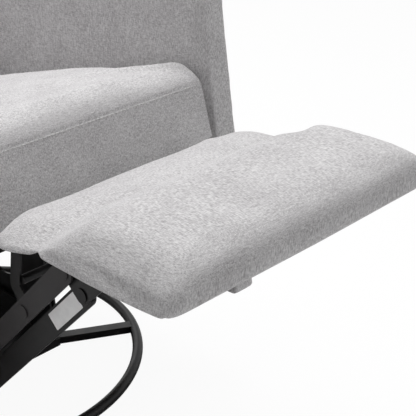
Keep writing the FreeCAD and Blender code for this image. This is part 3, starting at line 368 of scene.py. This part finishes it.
def thread_and_painted_seam_highlight():
    """Twisted polyester thread: pale, with a dull gleam and a fine twist. Its paleness is partly the
    thread's own colour and partly a painted highlight along the seam's ridge; the darker bands between the
    twists are painted shade.
    """
    twist_pitch = 0.0012
    material, tree, shader = new_material("thread_and_painted_seam_highlight")
    place = add_node(tree, "ShaderNodeTexCoord")
    twist = add_node(tree, "ShaderNodeTexWave",
                     {"Vector": place.outputs["Object"], "Scale": math.pi / (10 * twist_pitch)},
                     bands_direction="DIAGONAL")
    # Darker between the twists as painted shade; the pale tone also paints the seam's highlight.
    tone = blend_ramp(tree, twist.outputs["Fac"], [(0.1, colours().thread_dark), (0.6, colours().thread)])
    tree.links.new(tone, shader.inputs["Base Color"])
    set_shader(shader, Roughness=0.7, Sheen_Weight=0.1)
    return material


def blank_label():
    """Coated sticker paper with nothing on it: pale, slightly glossy, with a
    faint unevenness from the steel below."""
    cloud_size = 0.012
    material, tree, shader = new_material("blank_label")
    place = add_node(tree, "ShaderNodeTexCoord")
    clouds = add_node(tree, "ShaderNodeTexNoise",
                      {"Vector": place.outputs["Object"], "Scale": 1 / cloud_size, "Detail": 2.0})
    tone = blend_ramp(tree, clouds.outputs["Fac"], [(0.3, colours().label_dark), (0.6, colours().label)])
    tree.links.new(tone, shader.inputs["Base Color"])
    set_shader(shader, Roughness=0.35)
    return material


FINISHES = {
    "upholstery": heather_weave, "webbing": elastic_webbing, "plywood": birch_ply,
    "bright_steel": zinc_plate, "grey_steel": satin_enamel, "black_steel": black_enamel,
    "thread": thread_and_painted_seam_highlight, "label": blank_label,
}


def finish_of(slot):
    """The material of a record slot, made once. It has the name of its function."""
    maker = FINISHES[slot]
    return bpy.data.materials.get(maker.__name__) or maker()


def coat(piece, slot):
    """Give a piece one finish all over."""
    piece.data.materials.clear()
    piece.data.materials.append(finish_of(slot))


def select_only(piece):
    """Leave one object selected and active."""
    bpy.ops.object.select_all(action="DESELECT")
    piece.select_set(True)
    bpy.context.view_layer.objects.active = piece


def points_of(mesh):
    """A mesh's points as rows of x, y, z."""
    flat = np.empty(len(mesh.vertices) * 3)
    mesh.vertices.foreach_get("co", flat)
    return flat.reshape(-1, 3)


def normals_of(mesh):
    """A mesh's point normals as rows of x, y, z."""
    flat = np.empty(len(mesh.vertices) * 3)
    mesh.vertices.foreach_get("normal", flat)
    return flat.reshape(-1, 3)


def put_points(mesh, points):
    """Write rows of x, y, z back to a mesh."""
    mesh.vertices.foreach_set("co", points.ravel())
    mesh.update()


def turned(points, tilt):
    """Points in a plane that is tilted about X: its own y and z."""
    c, s = math.cos(tilt), math.sin(tilt)
    return points @ np.array([[1, 0, 0], [0, c, -s], [0, s, c]])


def read_profile(run, height, middle, pick):
    """The height of a cover's middle at each point's place along a run, read row by row."""
    rows = np.linspace(run.min(), run.max(), PROFILE_ROWS)
    row = np.clip(np.searchsorted(rows, run), 1, PROFILE_ROWS - 1)
    read = [pick(height[middle & (row == i)]) for i in range(1, PROFILE_ROWS)]
    return np.interp(run, (rows[1:] + rows[:-1]) / 2, read)


def cover_from(name, *nodes):
    """A copy of the solids that a cover replaces or wraps, which is later rebuilt as one skin."""
    copies = []
    for node in nodes:
        copy = bpy.data.objects.new(name, frame["nodes"][node].data.copy())
        bpy.context.scene.collection.objects.link(copy)
        copies.append(copy)
    select_only(copies[0])
    for copy in copies:
        copy.select_set(True)
    if len(copies) > 1:
        bpy.ops.object.join()
    cover = copies[0]
    bpy.ops.mesh.customdata_custom_splitnormals_clear()
    bpy.ops.object.mode_set(mode="EDIT")
    bpy.ops.mesh.select_all(action="SELECT")
    bpy.ops.mesh.remove_doubles(threshold=WELD)
    bpy.ops.object.mode_set(mode="OBJECT")
    return cover


def rebuild(cover, voxel):
    """Rebuild a cover as an even grid of small faces."""
    select_only(cover)
    cover.data.remesh_voxel_size = voxel
    cover.data.remesh_voxel_adaptivity = 0
    bpy.ops.object.voxel_remesh()


def offset(cover, distance):
    """Move the whole skin of a cover out along its normals."""
    select_only(cover)
    move = cover.modifiers.new("offset", "DISPLACE")
    move.strength = distance
    move.mid_level = 0
    bpy.ops.object.modifier_apply(modifier=move.name)


def fit_box(cover, low, high):
    """Stretch a cover so that it just fills a box."""
    points = points_of(cover.data)
    from_low, from_high = points.min(0), points.max(0)
    share = (points - from_low) / (from_high - from_low)
    put_points(cover.data, np.array(low) + share * (np.array(high) - np.array(low)))


def blow_up(cover, swell, pressure, held):
    """Blow a cover up as cloth. No point moves further than the swell, and the
    held points stay where they are."""
    start = points_of(cover.data)
    group = cover.vertex_groups.new(name="held")
    group.add([int(i) for i in np.flatnonzero(held)], 1.0, "REPLACE")
    modifier = cover.modifiers.new("blow_up", "CLOTH")
    cloth = modifier.settings
    cloth.quality = 4
    cloth.mass = 0.3
    cloth.tension_stiffness = 12
    cloth.compression_stiffness = 12
    cloth.shear_stiffness = 5
    cloth.bending_stiffness = 0.6
    cloth.use_pressure = True
    cloth.uniform_pressure_force = pressure
    cloth.effector_weights.gravity = 0
    cloth.vertex_group_mass = "held"
    modifier.collision_settings.use_collision = False
    modifier.point_cache.frame_start = 1
    modifier.point_cache.frame_end = CLOTH_FRAMES
    for step in range(1, CLOTH_FRAMES + 1):
        bpy.context.scene.frame_set(step)
    shaped = cover.evaluated_get(bpy.context.evaluated_depsgraph_get())
    end = points_of(shaped.data)
    cover.modifiers.remove(modifier)
    bpy.context.scene.frame_set(1)
    move = end - start
    far = np.linalg.norm(move, axis=1, keepdims=True)
    put_points(cover.data, start + move * (swell / np.maximum(far, swell)))
    cover.vertex_groups.remove(group)


def finish_cover(cover, rounds, levels):
    """Even out the blown cloth and divide it for the seams."""
    select_only(cover)
    smooth = cover.modifiers.new("even", "SMOOTH")
    smooth.factor = 0.5
    smooth.iterations = rounds
    bpy.ops.object.modifier_apply(modifier=smooth.name)
    if levels:
        divide = cover.modifiers.new("divide", "SUBSURF")
        divide.levels = levels
        divide.render_levels = levels
        bpy.ops.object.modifier_apply(modifier=divide.name)
    bpy.ops.object.shade_smooth()


def keep_between(cover, right, left):
    """Flatten a cover's two sides where they would pass its neighbours."""
    points = points_of(cover.data)
    points[:, 0] = np.clip(points[:, 0], right, left)
    put_points(cover.data, points)


def crease(cover, distance, depth=1.0):
    """Draw the cloth in along a seam. The distance of each point from the seam
    is in metres."""
    pull = depth * sizes().seam_depth * np.exp(-(distance / sizes().seam_width) ** 2)
    put_points(cover.data, points_of(cover.data) - normals_of(cover.data) * pull[:, None])


def upholster(cover, swell, held, pressure, rounds, levels):
    """The steps that every padded cover shares, from its solid to its cloth."""
    rebuild(cover, sizes().voxel)
    blow_up(cover, swell, pressure, held(cover))
    finish_cover(cover, rounds, levels)


def declare(piece, body, slot, nodes=()):
    """Tell the frame what a piece rides on, replaces and is made of."""
    coat(piece, slot)
    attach(piece, body)
    if nodes:
        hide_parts(*nodes)


def underside(cover, tilt=0.0):
    """Points of a cover that face down, or to the rear on a tilted piece."""
    return turned(normals_of(cover.data), tilt)[:, 2] < DOWNWARD


class RECLINER_OT_stage(bpy.types.Operator):
    """Floor, soft studio lights, pale surround and the camera"""
    bl_idname = "recliner.stage"
    bl_label = "Stage"

    def execute(self, context):
        self.floor()
        self.lamp("overhead", place=(0.3, 0.35, 2.9), aim=(0, -0.3, 0.4), width=2.4, power=76)
        self.lamp("front", place=(1.2, -3.2, 1.5), aim=(0, -0.3, 0.4), width=2.0, power=9)
        self.lamp("rear", place=(1.6, 2.6, 1.8), aim=(0, 0.1, 0.5), width=1.8, power=14)
        self.surround(context)
        self.camera(context)
        context.scene.view_settings.view_transform = "Standard"
        return {"FINISHED"}

    def floor(self):
        floor_size, floor_gap = 14, 0.0003
        # Share of plain white that the camera sees; the rest carries the shadow.
        white_share = 0.94
        bpy.ops.object.select_all(action="DESELECT")
        bpy.ops.mesh.primitive_plane_add(size=floor_size, location=(0, 0, -floor_gap))
        floor = bpy.context.object
        floor.name = "studio_floor"
        material, tree, shader = new_material("studio_floor")
        shader.inputs["Base Color"].default_value = linear(colours().floor)
        set_shader(shader, Roughness=0.8)
        seen = add_node(tree, "ShaderNodeLightPath")
        white = add_node(tree, "ShaderNodeEmission", {"Color": (1, 1, 1, 1), "Strength": 1.0})
        share = add_node(tree, "ShaderNodeMath", {0: seen.outputs["Is Camera Ray"], 1: white_share},
                         operation="MULTIPLY")
        mix = add_node(tree, "ShaderNodeMixShader",
                       {0: share.outputs[0], 1: shader.outputs[0], 2: white.outputs[0]})
        tree.links.new(mix.outputs[0], tree.nodes["Material Output"].inputs["Surface"])
        floor.data.materials.append(material)

    def lamp(self, name, place, aim, width, power):
        bpy.ops.object.light_add(type="AREA", location=place)
        lamp = bpy.context.object
        lamp.name = name
        lamp.data.size = width
        lamp.data.energy = power
        lamp.rotation_euler = (Vector(aim) - Vector(place)).to_track_quat("-Z", "Y").to_euler()

    def surround(self, context):
        fill_strength = 0.235
        world = bpy.data.worlds.new("studio")
        world.use_nodes = True
        tree = world.node_tree
        seen = add_node(tree, "ShaderNodeLightPath")
        first = add_node(tree, "ShaderNodeMath",
                         {0: seen.outputs["Is Camera Ray"], 1: seen.outputs["Is Glossy Ray"]},
                         operation="MAXIMUM")
        shown = add_node(tree, "ShaderNodeMath",
                         {0: first.outputs[0], 1: seen.outputs["Is Transmission Ray"]},
                         operation="MAXIMUM")
        fill = add_node(tree, "ShaderNodeBackground", {"Color": (1, 1, 1, 1), "Strength": fill_strength})
        white = tree.nodes["Background"]
        white.inputs["Color"].default_value = (1, 1, 1, 1)
        white.inputs["Strength"].default_value = 1.0
        mix = add_node(tree, "ShaderNodeMixShader",
                       {0: shown.outputs[0], 1: fill.outputs[0], 2: white.outputs[0]})
        tree.links.new(mix.outputs[0], tree.nodes["World Output"].inputs["Surface"])
        context.scene.world = world

    def camera(self, context):
        bpy.ops.object.camera_add(location=VIEW_PLACE)
        camera = bpy.context.object
        camera.name = "photo_view"
        camera.data.sensor_width = VIEW_SENSOR
        camera.data.lens = VIEW_LENS
        camera.data.clip_end = VIEW_FAR
        camera.rotation_euler = VIEW_AIM.to_track_quat("-Z", "Y").to_euler()
        context.scene.camera = camera


class RECLINER_OT_frame(bpy.types.Operator):
    """Enamel, zinc, plywood and webbing on the pieces that show as they are"""
    bl_idname = "recliner.frame"
    bl_label = "Frame finishes"

    def execute(self, context):
        for row in frame["record"]["subparts"]:
            coat(frame["nodes"][row["node"]], row["material_slot"])
        return {"FINISHED"}


class RECLINER_OT_seat(bpy.types.Operator):
    """Seat cover: crowned top and padded front, joined by one seam"""
    bl_idname = "recliner.seat"
    bl_label = "Seat cover"

    def execute(self, context):
        tilt = -sizes().seat_pitch
        ease, front_ease = 0.004, 0.006
        seam_end, seam_fade, seam_share = 0.1, 0.05, 0.5
        cover = cover_from("seat_cover", "seat_cushion", "seat_front_panel")
        line = turned(np.array([SEAT_SEAM]), tilt)[0]
        upholster(cover, sizes().seat_swell, lambda piece: self.sewn(piece, tilt, line),
                  pressure=4.0, rounds=4, levels=1)
        low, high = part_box("seat_cushion")
        panel_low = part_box("seat_front_panel")[0]
        fit_box(cover, (low.x - ease, panel_low.y - front_ease, panel_low.z),
                (high.x + ease, high.y, high.z + ease))
        keep_between(cover, low.x, high.x)
        self.flatten_front(cover, tilt)
        self.roll_front(cover, tilt, line)
        seam = turned(points_of(cover.data), tilt)
        front = np.clip((line[1] + seam_end - seam[:, 1]) / seam_fade, 0, 1)
        crease(cover, seam[:, 2] - line[2], seam_share * front)
        declare(cover, "seat", "upholstery", ("seat_cushion", "seat_front_panel"))
        # The pale stitches, laid almost end to end, are partly thread and partly a painted highlight along
        # the seam's ridge.
        stitches = stitch_row("seat_stitches_and_seam_highlight", cover, self.thread_line(low.x, high.x))
        declare(stitches, "seat", "thread")
        return {"FINISHED"}

    def roll_front(self, cover, tilt, line):
        """Shape the padding's top: up from the front seam in a soft roll, then on to the rear's height."""
        points = turned(points_of(cover.data), tilt)
        behind = points[:, 1] - points[:, 1].min()
        above = np.maximum(points[:, 2] - line[2], 0)
        roll = np.clip(behind / sizes().front_roll, 0, 1)
        run = np.clip((behind - sizes().front_roll) / sizes().crest_run, 0, 1)
        gain = (sizes().seat_rise - sizes().crest_rise) * run ** 2 * (3 - 2 * run)
        wanted = sizes().crest_rise * np.sqrt(1 - (1 - roll) ** 2) + gain
        blown = read_profile(behind, above, abs(points[:, 0]) < sizes().profile_half, np.max)
        points[:, 2] += above * (wanted / np.maximum(blown, sizes().seam_depth) - 1)
        put_points(cover.data, turned(points, -tilt))
        finish_cover(cover, rounds=2, levels=0)

    def sewn(self, cover, tilt, line):
        """Points that the cloth keeps: the underside and the seam at the front edge."""
        edge_depth = 0.03
        points = turned(points_of(cover.data), tilt)
        seam = (abs(points[:, 2] - line[2]) < sizes().voxel) & (points[:, 1] < line[1] + edge_depth)
        return underside(cover, tilt) | seam

    def flatten_front(self, cover, tilt):
        """Press the front's bulge back, so that the folded footrest clears it."""
        room = sizes().front_bulge
        points = turned(points_of(cover.data), tilt)
        face = turned(points_of(frame["nodes"]["seat_front_panel"].data), tilt)[:, 1].min()
        over = np.maximum(face - points[:, 1], 0)
        points[:, 1] += over - room * (1 - np.exp(-over / room))
        put_points(cover.data, turned(points, -tilt))

    def thread_line(self, right, left):
        """Where the needle goes in: a line in front of the seam, aimed at it."""
        margin, drop, distance = 0.015, 0.003, 0.1
        count = int((left - right - 2 * margin) / sizes().stitch_pitch)
        aim = Vector((0, math.cos(sizes().seat_pitch), -math.sin(sizes().seat_pitch)))
        along = Vector((1, 0, 0))
        start = Vector(SEAT_SEAM) - Vector((0, 0, drop)) - aim * distance
        return [(start + along * x, aim, along) for x in np.linspace(right + margin, left - margin, count)]


def stitch_row(name, cover, needle_points):
    """Top stitches laid on a cover, one at each needle point (from, aim, along)."""
    cloth = BVHTree.FromObject(cover, bpy.context.evaluated_depsgraph_get())
    bpy.ops.object.select_all(action="DESELECT")
    thread = sizes().stitch_thread
    rounding = lift = thread / 5
    bpy.ops.mesh.primitive_cylinder_add(vertices=6, radius=thread / 2, depth=sizes().stitch_length)
    one = bpy.context.object
    bpy.ops.object.mode_set(mode="EDIT")
    bpy.ops.mesh.bevel(offset=rounding, segments=1, affect="EDGES")
    bpy.ops.object.mode_set(mode="OBJECT")
    copies = []
    for start, aim, along in needle_points:
        spot, normal, _, _ = cloth.ray_cast(start, aim)
        if spot is None:
            continue
        copy = bpy.data.objects.new(name, one.data.copy())
        bpy.context.scene.collection.objects.link(copy)
        side = normal.cross(along).normalized()
        run = side.cross(normal).normalized()
        turn = Matrix((side, normal, run)).transposed().to_4x4()
        copy.data.transform(Matrix.Translation(spot + normal * lift) @ turn)
        copies.append(copy)
    bpy.data.objects.remove(one)
    select_only(copies[0])
    for copy in copies:
        copy.select_set(True)
    bpy.ops.object.join()
    bpy.ops.object.shade_smooth()
    return copies[0]


class RECLINER_OT_back(bpy.types.Operator):
    """Back cover: padded front with a lumbar crown, boxed round its edge"""
    bl_idname = "recliner.back"
    bl_label = "Back cover"

    def execute(self, context):
        tilt = -sizes().back_lean
        ease = 0.004
        # The two seams run round the edge and fade where the cover turns to its faces.
        turn_end, turn_width = 0.75, 0.3
        rear_inset, front_inset = 0.012, 0.034
        cover = cover_from("back_cover_cloth", "back_cover", "back_board",
                           "back_post_left", "back_post_right")
        upholster(cover, sizes().back_swell, lambda piece: underside(piece, tilt),
                  pressure=4.0, rounds=4, levels=0)
        low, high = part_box("back_cover")
        fit_box(cover, (low.x, low.y - ease, low.z), (high.x, high.y + ease, high.z + ease))
        flat = turned(points_of(cover.data), tilt)
        solid = turned(points_of(frame["nodes"]["back_cover"].data), tilt)
        facing = abs(turned(normals_of(cover.data), tilt)[:, 1])
        border = np.clip((turn_end - facing) / turn_width, 0, 1)
        for edge in (solid[:, 1].max() - rear_inset, solid[:, 1].min() + front_inset):
            crease(cover, flat[:, 1] - edge, border)
        declare(cover, "back", "upholstery", ("back_cover",))
        return {"FINISHED"}


class RECLINER_OT_arms(bpy.types.Operator):
    """Arm covers: firm padded panels with a band sewn round the edge"""
    bl_idname = "recliner.arms"
    bl_label = "Arm covers"

    def execute(self, context):
        ease, floor_ease = 0.004, 0.0005
        seam_inset, seam_share = 0.005, 2.4
        cover = cover_from("arm_cover_cloth_left", "arm_cover_left", "arm_panel_left")
        upholster(cover, sizes().arm_swell, underside, pressure=2.5, rounds=4, levels=1)
        low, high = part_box("arm_cover_left")
        fit_box(cover, (low.x, low.y, low.z - floor_ease), (high.x + ease, high.y + ease, high.z + ease))
        for edge in (low.x + seam_inset, high.x - seam_inset):
            crease(cover, points_of(cover.data)[:, 0] - edge, seam_share)
        other = bpy.data.objects.new("arm_cover_cloth_right", cover.data.copy())
        context.scene.collection.objects.link(other)
        put_points(other.data, points_of(other.data) * np.array((-1, 1, 1)))
        select_only(other)
        bpy.ops.object.mode_set(mode="EDIT")
        bpy.ops.mesh.select_all(action="SELECT")
        bpy.ops.mesh.flip_normals()
        bpy.ops.object.mode_set(mode="OBJECT")
        for piece, side in zip((cover, other), SIDES):
            declare(piece, "chassis", "upholstery", ("arm_cover_" + side,))
        return {"FINISHED"}


class RECLINER_OT_footrest(bpy.types.Operator):
    """Footrest cover: one cloth over the pad and the flap behind it"""
    bl_idname = "recliner.footrest"
    bl_label = "Footrest cover"

    def execute(self, context):
        nodes = ("pad_cushion", "pad_board", "flap_cover", "flap_board")
        ease, front_ease, bottom_ease = 0.002, 0.003, 0.001
        cover = cover_from("footrest_cover", *nodes)
        self.bridge(cover)
        upholster(cover, sizes().pad_swell, underside, pressure=4.0, rounds=5, levels=1)
        low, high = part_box("pad_cushion")
        flap_low, flap_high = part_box("flap_cover")
        bottom = min(flap_low.z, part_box("pad_board")[0].z)
        fit_box(cover, (low.x - ease, low.y - front_ease, bottom - bottom_ease),
                (high.x + ease, flap_high.y, high.z + ease))
        self.roll_ends(cover, high.x)
        self.pleat_corners(cover, low, high)
        declare(cover, "pad", "upholstery", nodes)
        return {"FINISHED"}

    def pleat_corners(self, cover, low, high):
        """A pleat at each front corner, from the underside up to the top."""
        inset, reach, fade = 0.008, 0.06, 0.03
        narrowing, pleat_share = 1.5, 0.6
        points = points_of(cover.data)
        for x in (low.x, high.x):
            corner = np.array((x, low.y + inset))
            inward = np.array((-math.copysign(1, x), 1)) / math.sqrt(2)
            across = (points[:, :2] - corner) @ np.array((inward[1], -inward[0]))
            near = np.linalg.norm(points[:, :2] - corner, axis=1)
            crease(cover, across * narrowing, pleat_share * np.clip((reach - near) / fade, 0, 1))

    def roll_ends(self, cover, half):
        """Roll the cloth down towards the two ends, where the padding is drawn tight."""
        points = points_of(cover.data)
        below = read_profile(points[:, 1], points[:, 2], abs(points[:, 0]) < half / 2, np.min)
        share = np.clip((abs(points[:, 0]) - half) / sizes().end_roll + 1, 0, 1)
        above = np.maximum(points[:, 2] - below, 0)
        points[:, 2] -= above * sizes().end_drop * share ** 2
        put_points(cover.data, points)

    def bridge(self, cover):
        """Close the gap between pad and flap, which leaves a soft valley."""
        rebuild(cover, sizes().voxel)
        offset(cover, sizes().valley)
        rebuild(cover, sizes().voxel)
        offset(cover, -sizes().valley)


class RECLINER_OT_label(bpy.types.Operator):
    """Blank sticker on the right lower link of the footrest"""
    bl_idname = "recliner.label"
    bl_label = "Blank sticker"

    def execute(self, context):
        link_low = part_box("footrest_lower_link_right")[0]
        rise = sizes().link_rise
        bpy.ops.object.select_all(action="DESELECT")
        bpy.ops.mesh.primitive_plane_add(size=1)
        label = bpy.context.object
        label.name = "blank_sticker"
        label.scale = (sizes().label_length, sizes().label_width, 1)
        bpy.ops.object.transform_apply(location=False, rotation=False, scale=True)
        bpy.ops.object.mode_set(mode="EDIT")
        bpy.ops.mesh.select_all(action="SELECT")
        bpy.ops.mesh.bevel(offset=sizes().label_corner, segments=3, affect="VERTICES")
        bpy.ops.mesh.extrude_region_move(TRANSFORM_OT_translate={"value": (0, 0, sizes().label_thick)})
        bpy.ops.mesh.select_all(action="SELECT")
        bpy.ops.mesh.normals_make_consistent(inside=False)
        bpy.ops.object.mode_set(mode="OBJECT")
        along = Vector((0, -math.cos(rise), math.sin(rise)))
        outward = Vector((-1, 0, 0))
        turn = Matrix((along, outward.cross(along), outward)).transposed().to_4x4()
        place = Vector((link_low.x, LABEL_Y, LABEL_Z))
        label.data.transform(Matrix.Translation(place) @ turn)
        declare(label, "footrest_lower_links", "label")
        return {"FINISHED"}


class RECLINER_PT_panel(bpy.types.Panel):
    """Sizes, colours and building steps of the recliner"""
    bl_idname = "RECLINER_PT_panel"
    bl_label = "Recliner"
    bl_space_type = "VIEW_3D"
    bl_region_type = "UI"
    bl_category = "Recliner"

    def draw(self, context):
        for group in (context.scene.recliner_sizes, context.scene.recliner_colours):
            for name in group.__annotations__:
                self.layout.prop(group, name)
        for step in STEPS:
            self.layout.operator(step.bl_idname)


STEPS = (RECLINER_OT_stage, RECLINER_OT_frame, RECLINER_OT_seat, RECLINER_OT_back, RECLINER_OT_arms,
         RECLINER_OT_footrest, RECLINER_OT_label)
CLASSES = (ReclinerSizes, ReclinerColours) + STEPS + (RECLINER_PT_panel,)


def register():
    for item in CLASSES:
        bpy.utils.register_class(item)
    bpy.types.Scene.recliner_sizes = PointerProperty(type=ReclinerSizes)
    bpy.types.Scene.recliner_colours = PointerProperty(type=ReclinerColours)


def unregister():
    del bpy.types.Scene.recliner_colours
    del bpy.types.Scene.recliner_sizes
    for item in reversed(CLASSES):
        bpy.utils.unregister_class(item)


def main():
    """Build every piece in order."""
    register()
    bpy.ops.recliner.stage()
    bpy.ops.recliner.frame()
    bpy.ops.recliner.seat()
    bpy.ops.recliner.back()
    bpy.ops.recliner.arms()
    bpy.ops.recliner.footrest()
    bpy.ops.recliner.label()


if __name__ == "__main__":
    main()
